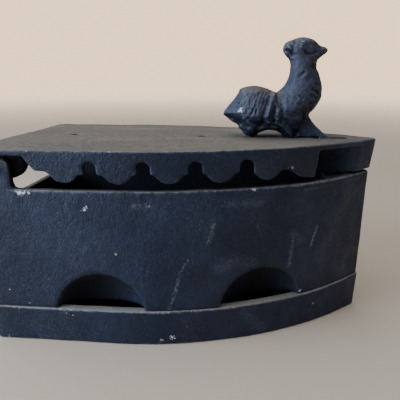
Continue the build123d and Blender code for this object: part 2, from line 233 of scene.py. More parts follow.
HANDLE_HOLES = (34.8, 113.8)  # stations of the lid's two holes for the missing handle
HANDLE_HOLE_RADIUS = 2.5
HOODS = (63.3, 150.5)  # stations of the draft hoods scooped into the walls
HOOD_HEIGHT = 17.6  # of their centres
HOOD_SIZE = (24.6, 11.4)  # how far they reach round and inwards
RIM = 88.0  # top of the side walls
DECK_START = 184.5  # the deck in the tip, level with the rim, starts at this station
PLATE = 3.0  # thickness of the lid's plate
SKIRT = 5.0  # how far the lid's hollow is in from its outline
BOSS = 177.0  # the lid's solid nose starts here
SLOT = (176.0, 199.4, 4.6)  # start, end and half width of the latch's slot


def wall(station, inset=WALL_INSET):
    """Half the iron's width at a station, drawn in by an inset."""
    past = max(station - ARC_START, 0)
    return math.sqrt((SIDE_RADIUS - inset) ** 2 - past**2) - (SIDE_RADIUS - HALF_WIDTH)


def tinted(colour, gain):
    """A colour multiplied by a number, or by one for each of its parts."""
    gains = gain if isinstance(gain, tuple) else (gain,) * 3
    return tuple(part * by for part, by in zip(colour, gains))


def depth(s):
    """How far in from the plan outline the surface is, in metres."""
    x, y, _ = s.axes(s.place)
    past = s.math("MAXIMUM", s.minus(x, at(ARC_START)), 0.0)
    square = s.minus((SIDE_RADIUS * MM) ** 2, s.times(past, past))
    half = s.minus(s.math("SQRT", s.math("MAXIMUM", square, 0.0)), (SIDE_RADIUS - HALF_WIDTH) * MM)
    side = s.minus(half, s.math("ABSOLUTE", y))
    return s.math("MINIMUM", side, s.minus(x, at(0)))


def in_hood(s, station):
    """1 on the scooped face of the draft hoods at a station."""
    x, y, z = s.axes(s.place)
    turn = math.asin(max(station - ARC_START, 0) / (SIDE_RADIUS - WALL_INSET))
    dx = s.minus(x, at(station))
    dy = s.minus(s.math("ABSOLUTE", y), wall(station) * MM)
    round_it = s.minus(s.times(dx, math.cos(turn)), s.times(dy, math.sin(turn)))
    inward = s.plus(s.times(dx, math.sin(turn)), s.times(dy, math.cos(turn)))
    node = s.nodes.new("ShaderNodeCombineXYZ")
    wide, deep = HOOD_SIZE
    s.put(s.math("DIVIDE", round_it, wide * MM), node.inputs[0])
    s.put(s.math("DIVIDE", inward, deep * MM), node.inputs[1])
    s.put(s.math("DIVIDE", s.minus(z, HOOD_HEIGHT * MM), wide * MM), node.inputs[2])
    # the scoop's own face is at 1
    return s.ramp(s.vector("LENGTH", node.outputs[0]), 1.15, 1.06)


def shell_soot_and_shade(s):
    """Soot-black that also paints the shade inside the box: 1 on the box's inner faces, but not on the deck
    in its tip; on the outer face of its draft hoods it paints shade, darker deeper in and towards their rear.
    """
    deep = depth(s)
    black = s.ramp(deep, (WALL_INSET + 2.0) * MM, (WALL_INSET + 4.5) * MM)
    x, _, z = s.axes(s.place)
    on_deck = s.ramp(x, at(DECK_START - 0.8), at(DECK_START))
    black = s.blend(s.times(on_deck, s.ramp(z, (RIM - 1.2) * MM, (RIM - 0.6) * MM)), black, 0.0)
    # painted shade on the hoods' scooped faces: darker deeper in and on their rear side, which faces away
    # from the light
    painted_hood_shade = s.ramp(deep, (WALL_INSET + 0.3) * MM, (WALL_INSET + 5.0) * MM, 0.25, 0.95)
    for station in HOODS:
        scoop = in_hood(s, station)
        rear = s.ramp(x, at(station + 20), at(station - 4))
        black = s.blend(scoop, black, s.times(painted_hood_shade, rear))
    return black


def sole_soot_and_shade(s):
    """1 in the ash pit: soot, and the shade in the pit painted black."""
    return s.ramp(depth(s), (WALL_INSET + 4.5) * MM, (WALL_INSET + 6.0) * MM)


def lid_soot_and_shade(s):
    """Soot, and painted shade under the lid: 1 under the lid's plate, in the latch's slot and in the handle's
    holes, and less under its nose.
    """
    x, y, z = s.axes(s.place)
    deep = depth(s)
    # painted shade, in the black of soot: under the plate, lighter under the nose, in the slot and in the
    # holes
    below = s.ramp(z, (LID_TOP - PLATE + 0.3) * MM, (LID_TOP - PLATE - 0.3) * MM)
    hollow = s.ramp(deep, (SKIRT - 3.2) * MM, (SKIRT - 0.8) * MM)
    nose = s.ramp(x, at(BOSS - 1), at(BOSS))
    shade = s.times(s.ramp(deep, 2.0 * MM, 13.0 * MM), 0.75)
    start, end, half = SLOT
    ends = s.times(s.ramp(x, at(start), at(start + 1)), s.ramp(x, at(end), at(end - 0.4)))
    slot = s.times(s.ramp(s.math("ABSOLUTE", y), half * MM, (half - 0.4) * MM), ends)
    slot = s.times(slot, s.ramp(z, (LID_TOP - 0.5) * MM, (LID_TOP - 1.1) * MM))
    holes = []
    for station in HANDLE_HOLES:
        far = s.vector("DISTANCE", s.place, (at(station), 0, (LID_TOP - PLATE / 2) * MM))
        holes.append(s.ramp(far, (HANDLE_HOLE_RADIUS + 0.6) * MM, (HANDLE_HOLE_RADIUS + 0.2) * MM))
    return s.most(s.times(below, s.blend(nose, hollow, shade)), slot, *holes)


def base_coat(s, light):
    """The paint's colours: broad changes of tone, dark pores, rubbed chalky patches and fine bare specks."""
    # light multiplies every paint colour; on the rooster it paints in light
    dark, pale, warm, chalk = (tinted(paint, light) for paint in (PAINT_DARK, PAINT_LIGHT, PAINT_WARM, CHALK))
    forward = s.ramp(s.axes(s.place)["X"], at(40), at(130), 0.35, 0.9)
    colour = s.mix(s.ramp(s.noise(38, 4, 0.6), 0.36, 0.66), dark, pale)
    colour = s.mix(s.times(s.ramp(s.noise(55, 2), 0.46, 0.64), forward), colour, warm)
    colour = s.mix(s.ramp(s.noise(2.2, 3, 0.65), 0.62, 0.36, 0.0, 0.45), colour, tinted(dark, 0.45))
    rubbed = s.times(s.ramp(s.noise(26, 3, stretch=(1, 1, 0.45), distortion=0.8), 0.50, 0.72),
                     s.ramp(s.noise(1.5, 4, 0.7), 0.42, 0.72))
    colour = s.mix(s.times(rubbed, 0.5), colour, chalk)
    specks = s.times(s.ramp(s.noise(0.9, 1), 0.68, 0.75), s.ramp(s.noise(14, 2), 0.48, 0.62))
    return s.mix(s.times(specks, 0.5), colour, WORN)


def worn_edges(s, wear, worn_above):
    """How bare the edges are: patchy behind, more even at the front, and less below the height worn_above."""
    x, _, z = s.axes(s.place)
    edge = s.ramp(s.geometry.outputs["Pointiness"], 0.515, 0.56)
    broken = s.ramp(s.noise(5, 4, 0.7), 0.34, 0.62)
    even = s.ramp(broken, 0.0, 1.0, 0.6 * wear, wear)
    edge = s.times(edge, s.blend(s.ramp(x, at(125), at(175)), s.times(broken, wear), even))
    if worn_above:
        edge = s.times(edge, s.ramp(z, worn_above * MM, (worn_above + 8) * MM, 0.25, 1.0))
    return edge


def top_dust_and_light(s, dust_and_top_light, ledge_dust_and_light):
    """How much dust lies on what faces up, and the dust's colour, which is paler along a ledge; both also
    paint light there: a warm reflection and brightness on the tops, and the light on the ledge.
    """
    x = s.axes(s.place)["X"]
    patches = s.ramp(s.noise(34, 5, 0.65, stretch=(0.5, 1, 1)), 0.25, 0.6, 0.7, 1.0)
    amount = s.times(s.times(s.upward(), patches), s.ramp(x, at(140), at(195), dust_and_top_light, dust_and_top_light * 0.8))
    colour = s.mix(s.ramp(s.noise(3.5, 5, 0.7), 0.36, 0.70), DUST_AND_TOP_LIGHT, tinted(DUST_AND_TOP_LIGHT, 0.62))
    smears = s.ramp(s.noise(22, 4, 0.6, stretch=(0.4, 1, 1), distortion=0.6), 0.50, 0.68, 0.0, 0.45)
    colour = s.mix(smears, colour, tinted(DUST_AND_TOP_LIGHT, (1.38, 1.42, 1.36)))
    dark_spots = s.times(s.ramp(s.noise(1.8, 2), 0.66, 0.74), 0.5)
    colour = s.mix(dark_spots, colour, tinted(DUST_AND_TOP_LIGHT, 0.3))
    # paler along the sole's ledge: dust, and painted light on it
    if ledge_dust_and_light:
        deep = depth(s)
        rim = s.times(s.ramp(deep, 9.0 * MM, 7.5 * MM), s.ramp(deep, 1.2 * MM, 2.2 * MM, 0.4, 1.0))
        colour = s.mix(s.times(rim, ledge_dust_and_light), colour, LEDGE_DUST_AND_LIGHT)
    return amount, colour


def marked(s, colour, chips, scratches):
    """The colour with broken scratches and ragged chips."""
    if scratches:
        lines = (s.times(s.scratch(start, end, width), strength) for start, end, width, strength in scratches)
        broken = s.ramp(s.noise(1.1, 4, 0.75), 0.41, 0.60)
        colour = s.mix(s.times(s.most(*lines), broken), colour, tinted(WORN, 1.2))
    if chips:
        ragged = s.times(s.minus(s.noise(0.8, 3, 0.75), 0.5), 6.5)
        # those under 1 mm are fainter too
        spots = (s.times(s.spot(ragged, *chip), min(chip[-1], 1.0)) for chip in chips)
        colour = s.mix(s.most(*spots), colour, CHIP)
    return colour


def stove_paint(name, chips=(), scratches=(), dust_and_top_light=0.9, soot_and_shade=None, sheen=0.52, light=(1, 1, 1), ledge_dust_and_light=0.0,
                wear=0.8, crease_shade=0.5, worn_above=0):
    """Matte blue-black stove paint over cast iron: rubbed, dusty on top with light painted there too, worn on
    its edges, and with shade painted into its creases.

    Dust, ledge, wear and creases are strengths from 0 to 1. The dust on what faces up also paints light
    there, a warm reflection and brightness on the tops, the pale ledge paints the light on the sole's ledge,
    and the creases' strength is that of the shade painted into creases and onto what faces down. Soot is one
    of the functions above, which paint soot and shade in one black.
    Light multiplies the paint's own colours; on the rooster this paints in the light that its upturned,
    rounded faces catch.
    Sheen is its roughness, and edges are less worn below worn_above.
    """
    s = Shader(name)
    colour = s.mix(worn_edges(s, wear, worn_above), base_coat(s, light), WORN)
    # painted shade: the paint darker in creases and on what faces down
    painted_shade = s.most(s.ramp(s.geometry.outputs["Pointiness"], 0.492, 0.455), s.facing(-0.05, -0.6))
    colour = s.mix(s.times(painted_shade, crease_shade), colour, tinted(PAINT_DARK, 0.3))
    # dust on what faces up, with painted light in it
    top, dust_and_light_colour = top_dust_and_light(s, dust_and_top_light, ledge_dust_and_light)
    colour = s.mix(top, colour, dust_and_light_colour)
    roughness = s.ramp(s.noise(9, 3), 0.3, 0.7, sheen - 0.06, sheen + 0.12)
    roughness = s.blend(top, roughness, 0.8)
    # soot, and painted shade: the black laid on by the soot function
    if soot_and_shade:
        black = soot_and_shade(s)
        colour = s.mix(s.times(black, s.ramp(s.noise(12, 3), 0.3, 0.7, 0.88, 1.0)), colour, SOOT_AND_SHADE)
        roughness = s.blend(black, roughness, 0.95)
    colour = marked(s, colour, chips, scratches)
    grain = s.bump(s.noise(2.2, 4, 0.7), 0.6)
    skin = s.bump(s.noise(0.9, 2, 0.6), 0.28, grain)
    s.surface.inputs["Specular Tint"].default_value = PAINT_GLOSS_TINT
    return s.finish(colour, roughness, skin, specular=0.42)


def on_side(marks, inset, side=-1):
    """Chips as (station, y, z, radius), on the near side, or on the far one if side is 1."""
    return [(station, side * wall(station, inset), z, radius) for station, z, radius in marks]


def line_on_side(marks, inset, side=-1):
    """Scratches with (station, y, z) ends, in the same way."""
    return [((s0, side * wall(s0, inset), z0), (s1, side * wall(s1, inset), z1), width, strength)
            for (s0, z0), (s1, z1), width, strength in marks]


# Bare spots in the paint, as (station, z, radius), and scratches, as (one end, other end, width, strength).
# The wide, weak scratches are smears. Those named FAR are on the far side, and the others on the near side.
BODY_CHIPS = [(26.0, 86.2, 1.2), (28.2, 86.6, 0.9), (30.6, 86.4, 0.7), (24.2, 87.0, 0.6), (58.8, 78.4, 0.8),
              (60.0, 79.8, 0.6), (57.2, 77.6, 0.4), (73.5, 54.6, 0.5), (144.0, 87.3, 0.9), (142.3, 88.0, 0.6),
              (91.7, 80.7, 0.45), (23.1, 23.5, 0.5), (12.9, 31.1, 0.45), (2.5, 102.4, 2.0), (6.0, 101.6, 1.0),
              (20.2, 102.6, 0.8), (173.2, 23.2, 0.7), (171.6, 22.4, 0.5)]
BODY_SCRATCHES = [((110.6, 50.7), (106.1, 43.2), 0.9, 0.38), ((106.1, 43.2), (104.1, 33.8), 1.2, 0.47),
                  ((104.1, 33.8), (99.9, 21.5), 1.4, 0.42), ((123.7, 70.0), (121.1, 60.0), 1.5, 0.5),
                  ((180.6, 61.5), (177.6, 51.0), 1.1, 0.9), ((166.5, 58.0), (165.4, 40.6), 1.5, 0.45),
                  ((200.5, 81.0), (194.3, 63.5), 6.5, 0.13), ((194.3, 63.5), (185.1, 41.4), 7.0, 0.13),
                  ((206.9, 63.0), (201.4, 30.7), 5.0, 0.12), ((126.0, 45.0), (134.8, 49.2), 5.0, 0.17),
                  ((134.8, 49.2), (146.0, 45.4), 5.0, 0.13), ((128.0, 81.2), (148.0, 80.0), 3.4, 0.15),
                  ((84.0, 80.5), (92.0, 80.9), 2.4, 0.25), ((166.0, 60.5), (171.0, 55.0), 3.5, 0.22),
                  ((150.0, 87.5), (168.0, 87.6), 1.0, 0.7), ((168.0, 87.6), (188.0, 88.1), 1.1, 0.95),
                  ((188.0, 88.1), (207.0, 89.1), 1.2, 1.0), ((20.0, 87.6), (60.0, 87.6), 0.9, 0.4),
                  ((172.0, 84.5), (206.0, 86.0), 1.2, 0.3)]
FAR_CHIPS = [(22.0, 70.2, 0.8), (48.5, 86.6, 0.9), (50.2, 87.2, 0.6), (88.0, 61.0, 0.6), (112.0, 87.0, 0.8),
             (131.0, 44.5, 0.6), (168.0, 79.5, 0.9), (170.2, 78.6, 0.5), (190.0, 33.0, 0.6)]
FAR_SCRATCHES = [((38.0, 66.0), (44.5, 50.0), 1.3, 0.6), ((96.0, 76.0), (99.0, 58.0), 1.2, 0.7),
                 ((176.0, 70.0), (184.0, 58.0), 1.2, 0.7), ((60.0, 56.0), (78.0, 60.0), 5.0, 0.15)]
SOLE_CHIPS = [(101.6, 4.6, 1.1), (95.7, 3.3, 0.7), (8.5, 1.3, 0.7), (182.5, 12.5, 0.6), (47.3, 17.4, 0.4),
              (44.0, 18.6, 0.4)]
SOLE_SCRATCHES = [((40.0, 20.6), (100.0, 20.6), 1.0, 0.9), ((176.0, 20.8), (207.0, 22.4), 0.9, 0.9),
                  ((112.0, 20.6), (136.0, 20.6), 0.7, 0.6), ((14.0, 20.6), (40.0, 20.6), 0.8, 0.55),
                  ((140.0, 17.0), (152.0, 4.0), 4.0, 0.15)]
LID_CHIPS = [(1.5, 104.0, 1.5), (4.5, 104.8, 1.0), (33.0, 108.3, 0.5), (36.0, 108.4, 0.4), (74.0, 108.2, 0.4),
             (98.0, 108.2, 0.35), (163.6, 97.6, 0.7), (161.6, 97.9, 0.45)]
LID_SCRATCHES = [((120.0, 108.0), (165.0, 108.0), 0.8, 0.4), ((170.0, 108.0), (205.0, 108.0), 0.8, 0.45)]
# Here as (station, y, z, radius)
ROOSTER_CHIPS = [(136.0, -9.6, 124.2, 1.3), (136.6, -9.8, 122.2, 0.7), (168.9, -5.6, 161.3, 0.6)]


def grate_iron():
    """Bare cast iron that has been in the fire: dull brown-black, with rust and ash."""
    s = Shader("grate_iron")
    colour = s.mix(s.ramp(s.noise(11, 5, 0.65), 0.35, 0.65), *BURNT_IRON)
    ash = s.times(s.upward(), s.ramp(s.noise(7, 5, 0.7), 0.42, 0.70))
    colour = s.mix(s.times(ash, 0.8), colour, ASH)
    edge = s.ramp(s.geometry.outputs["Pointiness"], 0.53, 0.60)
    colour = s.mix(s.times(edge, 0.5), colour, BURNT_EDGE)
    pits = s.bump(s.noise(1.3, 5, 0.7), 0.35)
    return s.finish(colour, s.ramp(s.noise(5, 3), 0.3, 0.7, 0.72, 0.95), pits, metallic=0.35, specular=0.35)


def dull_steel(name, colours, rough):
    """Round steel, darkened, with marks along its length, patches of rust and brighter edges."""
    s = Shader(name)
    colour = s.mix(s.ramp(s.noise(4, 4, 0.7), 0.3, 0.7), *colours)
    rust = s.ramp(s.noise(2.2, 5, 0.7), 0.56, 0.72)
    colour = s.mix(s.times(rust, 0.5), colour, RUST)
    edge = s.ramp(s.geometry.outputs["Pointiness"], 0.52, 0.60)
    colour = s.mix(s.times(edge, 0.6), colour, tinted(colours[1], 2.2))
    marks = s.bump(s.noise(0.7, 3, 0.6, stretch=(1, 0.15, 1)), 0.06)
    return s.finish(colour, s.ramp(s.noise(1.5, 3), 0.3, 0.7, rough, rough + 0.2), marks, metallic=0.8)


# ---------------------------------------------------------------- castings

def dress(node, material):
    """Gives a CAD part its material."""
    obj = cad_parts[node]
    obj.data.materials.clear()
    obj.data.materials.append(material)
    return obj


def round_edges(obj, voxel_mm, passes):
    """Rounds a part's edges: an even mesh, then smoothing."""
    remesh = obj.modifiers.new("even", "REMESH")
    remesh.mode = "VOXEL"
    remesh.voxel_size = voxel_mm * MM
    remesh.use_smooth_shade = True
    smooth = obj.modifiers.new("round", "SMOOTH")
    smooth.factor = 0.5
    smooth.iterations = passes


def roughen(obj, lumps):
    """Makes a part's faces uneven, with lumps of each size and height."""
    for size, height in lumps:
        texture = bpy.data.textures.new(f"{obj.name}_{size}", "CLOUDS")
        texture.noise_scale = size * MM
        texture.noise_depth = 2
        uneven = obj.modifiers.new("uneven", "DISPLACE")
        uneven.texture = texture
        uneven.texture_coords = "LOCAL"
        uneven.strength = height * MM
        uneven.mid_level = 0.5


def sand_cast(obj, voxel_mm=0.8, passes=4, lumps=((9, 0.35), (28, 0.7))):
    """A sand casting: rounded edges and gently uneven faces."""
    round_edges(obj, voxel_mm, passes)
    roughen(obj, lumps)


# ---------------------------------------------------------------- rooster

STEP = 0.5  # spacing of the grid that the rooster is carved from
BASE = LID_TOP + 0.3  # the feet clear the lid by this much
WEB_HALF = 3.0  # half the thickness of the web below the bird
WEB_EDGE = 0.9  # radius of the web's edges
SMOOTH_JOIN = 1.6  # how far the bird and the web run into each other
THICKNESS_REACH = 4.2  # how far each place in THICKNESS counts

# The bird's outline from the side, and that of its web and hook, as (station, z) points
OUTLINE = [(126.0, 121.8), (128.5, 125.7), (131.5, 129.4), (134.5, 133.6), (135.6, 136.0), (138.8, 137.0),
           (142.3, 137.6), (146.0, 137.4), (150.3, 136.3), (154.0, 134.7), (156.2, 134.0), (159.1, 136.0),
           (161.2, 138.6), (162.5, 141.4), (163.2, 144.5), (163.5, 147.7), (163.1, 150.4), (161.8, 152.5),
           (159.9, 154.4), (158.8, 156.4), (158.8, 158.6), (159.9, 160.5), (162.5, 162.0), (165.9, 162.9),
           (169.3, 163.4), (172.8, 163.0), (175.3, 162.1), (177.3, 160.4), (179.2, 158.8), (181.5, 158.2),
           (183.3, 156.8), (182.6, 155.3), (180.5, 153.6), (178.7, 152.1), (177.8, 150.4), (177.8, 147.7),
           (179.0, 144.9), (180.5, 141.5), (181.5, 138.0), (181.8, 134.3), (181.4, 130.3), (179.9, 127.3),
           (178.0, 124.5), (175.6, 122.2), (174.2, 119.4), (172.9, 116.2), (171.2, 112.8), (170.4, BASE),
           (162.0, BASE), (160.5, 110.3), (158.6, 111.6), (156.2, 112.4), (153.4, 112.6), (150.6, 112.3),
           (148.2, 111.4), (146.6, 110.3), (145.2, BASE), (141.0, BASE), (139.0, 110.0), (137.4, 111.6),
           (135.6, 113.8), (134.2, 115.6), (132.4, 116.6), (130.6, 117.5), (129.0, 119.0), (127.2, 120.4)]
WEB = [(163, BASE), (181.5, BASE), (183.5, 98.5), (185.6, 86), (186.2, 77.5), (188.2, 76), (195.6, 76),
       (196.2, 77.5), (195.4, 81.5), (192.6, 83), (192.8, 88), (194.4, 98.5), (191.8, 107.2), (187.2, 109.4),
       (182.2, 113.1), (178.2, 116.8), (175.6, 120.2), (174.0, 123), (166, 124)]
PIVOT = (189.0, 98.5)  # station and z of the latch's pin
PIVOT_HOLE = 2.3  # radius of the hole for it
# How thick the bird is, smoothly between these places: (station, z, half thickness)
THICKNESS = [(127, 122, 3.2), (131, 126, 8.5), (138, 127, 11.5), (147, 124, 12.6), (141, 115, 9.0),
             (142, 110, 6.2), (152, 117, 10.5), (156, 130, 10.0), (166, 128, 11.6), (177, 131, 9.0),
             (166, 118, 9.6), (165, 110, 6.6), (170, 139, 9.4), (171, 146, 7.9), (168, 156.5, 6.9),
             (161, 157, 5.2), (175, 157.5, 5.0), (181, 156.4, 2.4), (177, 151, 4.6), (173, 113, 5.0)]
# Ridges, with a positive height, and grooves, along lines on the bird's side: (points, width, height)
CARVING = [
    # strap of the thigh, and the grooves on either side of it
    ([(154.6, 133.2), (153.4, 130.2), (152.3, 126.6), (151.5, 123.4), (151.3, 120.2), (152.0, 117.4)],
     1.4, 1.3),
    ([(152.0, 117.4), (153.6, 115.0), (156.6, 113.8)], 1.4, 0.6),
    ([(152.4, 131.2), (150.7, 127.3), (149.6, 123.8), (148.7, 120.3), (148.8, 117.5)], 1.1, -0.8),
    ([(155.4, 126.4), (154.6, 123.6), (154.3, 120.8), (155.2, 118.4)], 0.8, -1.1),
    ([(156.8, 123.6), (157.1, 120.6), (156.8, 117.2)], 1.3, 0.9),
    ([(154.8, 133.6), (155.2, 130.2), (156.0, 126.8)], 0.9, 0.5),
    ([(156.6, 133.4), (156.8, 129.8), (157.2, 126.4)], 0.7, -0.55),
    ([(158.9, 133.6), (158.9, 129.3), (159.3, 125.2), (159.6, 120.6), (159.2, 117.6)], 1.1, -1.0),
    ([(160.8, 133.4), (160.8, 129.0), (161.2, 124.8)], 1.0, 0.35),
    # belly, legs and feet
    ([(147.6, 112.9), (150.4, 114.1), (153.6, 114.5), (157.0, 113.9)], 1.3, 0.9),
    ([(139.4, 113.8), (142.6, 112.6)], 1.6, 0.7),
    ([(143.0, 117.4), (147.4, 115.9)], 1.2, -0.7),
    ([(143.6, 120.8), (145.6, 118.8)], 2.2, 0.6),
    ([(158.8, 116.4), (160.8, 114.0), (163.2, 112.0), (165.2, 110.4)], 1.2, 1.6),
    ([(165.4, 109.4), (168.0, 109.0), (170.2, 109.8)], 0.9, 1.0),
    ([(167.5, 111.5), (167.9, 110.8)], 1.4, -3.2),
    ([(168.2, 119.4), (169.6, 116.6), (170.0, 114.2)], 1.6, 0.6),
    ([(161.6, 118.6), (163.2, 116.2), (165.4, 113.8)], 1.1, -0.8),
    ([(171.4, 122.4), (171.3, 119.2), (170.9, 114.9)], 0.8, -0.8),
    # tail
    ([(127.8, 121.0), (130.8, 119.6), (133.6, 118.2), (136.2, 117.0)], 1.3, -1.5),
    ([(135.8, 116.0), (138.6, 113.6)], 2.0, -0.9),
    ([(137.6, 119.4), (140.6, 116.8)], 1.4, 0.5),
    ([(128.4, 124.6), (131.2, 125.8), (134.0, 126.0)], 0.8, -0.4),
    # neck and chest
    ([(168.3, 143.1), (169.3, 143.9), (170.3, 144.8)], 0.7, -1.0),
    ([(169.8, 142.2), (171.2, 143.4), (172.6, 144.6)], 1.0, 0.35),
    ([(165.9, 149.5), (165.4, 144.8), (165.0, 140.2)], 1.6, 0.35),
    ([(174.6, 148.6), (176.0, 147.6), (177.4, 146.5)], 0.9, -1.5),
    ([(172.6, 151.0), (174.2, 150.0), (175.6, 149.6)], 1.1, 0.4),
    ([(176.7, 139.2), (178.6, 138.4), (180.2, 137.4)], 0.5, -0.8),
    ([(175.0, 135.8), (177.0, 134.8), (178.8, 133.8)], 0.6, -1.0),
    ([(174.4, 132.8), (176.2, 132.0), (177.8, 131.0)], 0.5, -0.7),
    ([(165.6, 131.6), (166.6, 130.8)], 0.8, -0.6),
    ([(168.4, 132.4), (169.8, 131.2)], 0.7, -0.6),
    ([(164.4, 128.6), (165.8, 127.4)], 0.8, -0.5),
    ([(168.0, 127.8), (169.6, 128.2)], 0.8, -0.5),
    ([(161.6, 130.4), (163.0, 129.4)], 0.8, -0.4),
    ([(173.8, 127.4), (176.4, 128.2)], 0.9, -0.4),
    # head: the lobe behind the face, the face's edge, brow, eye, cheek and beak
    ([(165.1, 161.6), (164.3, 159.4), (164.0, 156.8), (164.3, 153.8)], 0.75, -0.7),
    ([(162.6, 159.2), (163.3, 158.1)], 0.7, -0.75),
    ([(160.6, 156.4), (162.1, 155.0), (163.2, 153.8)], 0.8, -1.2),
    ([(161.0, 158.6), (161.4, 158.0)], 1.0, 0.5),
    ([(168.2, 162.0), (168.2, 159.6), (168.0, 157.7)], 0.6, 0.5),
    ([(169.6, 160.0), (171.8, 160.8), (174.6, 160.2)], 0.9, 0.25),
    ([(172.0, 159.4), (174.0, 159.8), (176.2, 158.9)], 0.5, -0.22),
    ([(173.4, 158.0), (174.4, 158.0)], 0.8, 0.3),
    ([(170.0, 155.8), (171.4, 154.8), (173.4, 154.3), (175.4, 154.8), (176.7, 155.6)], 0.6, -0.9),
    ([(177.8, 155.9), (180.0, 156.0), (182.6, 156.5)], 0.4, -0.4),
    ([(177.6, 157.4), (178.2, 157.3)], 0.4, -0.3),
]
# Rows of feather strokes on the rump: first and last station, height, length, pitch
FEATHER_ROWS = [(136.5, 152.5, 132.6, 5.6, 2.0), (135.5, 150.0, 128.4, 4.6, 2.3),
                (137.5, 147.5, 124.6, 3.6, 2.6)]
FEATHER_GROOVE = (0.5, -0.5)  # a stroke's width and height


def along(points, station, z):
    """Distance, in the plane of the side view, from each grid place to a line through the points."""
    nearest = np.full(station.shape, 1e9)
    for (s0, z0), (s1, z1) in zip(points, points[1:]):
        ds, dz = s1 - s0, z1 - z0
        t = np.clip(((station - s0) * ds + (z - z0) * dz) / (ds * ds + dz * dz), 0, 1)
        nearest = np.minimum(nearest, np.hypot(station - s0 - t * ds, z - z0 - t * dz))
    return nearest


def within(points, station, z):
    """Distance inside a closed outline, and minus the distance outside it."""
    inside = np.zeros(station.shape, bool)
    for (s0, z0), (s1, z1) in zip(points, points[1:] + points[:1]):
        crosses = (z0 > z) != (z1 > z)
        s = s0 + (z - z0) * (s1 - s0) / (z1 - z0 if z1 != z0 else 1)
        inside ^= crosses & (station < s)
    return np.where(inside, 1, -1) * along(points + points[:1], station, z)


def softened(points, steps=4):
    """A closed outline through the points, rounded as a Catmull-Rom curve."""
    count = len(points)
    line = []
    for i in range(count):
        p = [np.array(points[(i + k) % count]) for k in (-1, 0, 1, 2)]
        for t in np.arange(steps) / steps:
            curve = 2 * p[1] + (p[2] - p[0]) * t + (2 * p[0] - 5 * p[1] + 4 * p[2] - p[3]) * t**2
            line.append(tuple((curve + (3 * p[1] - p[0] - 3 * p[2] + p[3]) * t**3) / 2))
    return line


def feathers():
    """Fine slanting strokes in rows across the rump, longer and flatter towards the thigh."""
    chance = np.random.default_rng(7)
    rows = []
    for first, last, top, run, pitch in FEATHER_ROWS:
        for station in np.arange(first, last, pitch):
            s, z = station + chance.uniform(-0.5, 0.5), top + chance.uniform(-0.9, 0.9)
            fall = run * chance.uniform(0.7, 1.2)
            slant = 0.22 + 0.25 * (station - first) / (last - first)
            stroke = [(s, z), (s - 0.7 * slant * fall, z - 0.5 * fall), (s - slant * fall, z - fall)]
            rows.append((stroke, *FEATHER_GROOVE))
    return rows


def rooster_field(station, y, z):
    """Signed distance to the rooster's skin, negative inside, for grids that broadcast together."""
    flat_s, flat_z = station[:, 0, :] + 0 * z[:, 0, :], z[:, 0, :] + 0 * station[:, 0, :]
    inner = within(softened(OUTLINE), flat_s, flat_z)
    weight = total = 0
    for s0, z0, half in THICKNESS:
        near = np.exp(-((flat_s - s0) ** 2 + (flat_z - z0) ** 2) / (2 * THICKNESS_REACH**2)) + 1e-9
        total = total + near * half
        weight = weight + near
    thick = total / weight
    relief = 0
    for points, width, height in CARVING + feathers():
        relief = relief + height * np.exp(-((along(points, flat_s, flat_z) / width) ** 2))
    inner, thick, relief = (a[:, None, :] for a in (inner, thick, relief))
    bird = np.hypot(np.maximum(thick - inner, 0), y) - thick
    # the carving fades out towards the bird's middle plane
    bird = bird - relief * np.clip(np.abs(y) / thick * 1.6, 0, 1)
    web_in = within(WEB, flat_s, flat_z)[:, None, :]
    web_side = np.maximum(np.abs(y) - WEB_HALF + WEB_EDGE, 0)
    web = np.hypot(np.maximum(WEB_EDGE - web_in, 0), web_side) - WEB_EDGE
    join = np.clip(0.5 + (web - bird) / (2 * SMOOTH_JOIN), 0, 1)
    skin = web + (bird - web) * join - SMOOTH_JOIN * join * (1 - join)
    # everything but the web, with a little to spare round it, ends flat above the lid
    skin = np.maximum(skin, np.where(web < 0.05, -1e9, BASE - z))
    hole = PIVOT_HOLE - np.hypot(station - PIVOT[0], z - PIVOT[1])
    return np.maximum(skin, hole)


def surface_net(field, low, step):
    """The mesh of a field's zero surface: one point in each crossed cell, one quad on each crossed edge."""
    size = field.shape
    corners = [(i, j, k) for i in (0, 1) for j in (0, 1) for k in (0, 1)]

    def corner(values, c):
        return values[c[0]:size[0] - 1 + c[0], c[1]:size[1] - 1 + c[1], c[2]:size[2] - 1 + c[2]]

    inside = field < 0
    count = sum(corner(inside, c).astype(np.int8) for c in corners)
    active = (count > 0) & (count < 8)
    cells = np.argwhere(active)
    total = np.zeros((len(cells), 3))
    hits = np.zeros(len(cells))
    for c in corners:
        for axis in range(3):
            if c[axis]:
                continue
            other = list(c)
            other[axis] = 1
            a, b = corner(field, c)[active], corner(field, other)[active]
            crossed = (a < 0) != (b < 0)
            place = np.repeat([np.array(c, float)], len(cells), 0)
            place[:, axis] = np.where(crossed, a / np.where(crossed, a - b, 1), 0)
            total += place * crossed[:, None]
            hits += crossed
    points = (cells + total / hits[:, None]) * step + np.array(low)
    index = np.full(active.shape, -1)
    index[active] = np.arange(len(cells))
    quads = []
    for axis in range(3):
        u, v = (axis + 1) % 3, (axis + 2) % 3
        first, second = [slice(1, -1)] * 3, [slice(1, -1)] * 3
        first[axis], second[axis] = slice(0, -1), slice(1, None)
        a, b = inside[tuple(first)], inside[tuple(second)]
        for mask, turned in ((a & ~b, False), (b & ~a, True)):
            spot = np.argwhere(mask) + 1
            spot[:, axis] -= 1
            step_u, step_v = np.eye(3, dtype=int)[u], np.eye(3, dtype=int)[v]
            ring = [spot - step_u - step_v, spot - step_v, spot, spot - step_u]
            quad = np.stack([index[tuple(r.T)] for r in ring], 1)
            quads.append(quad[:, ::-1] if turned else quad)
    return points, np.concatenate(quads)


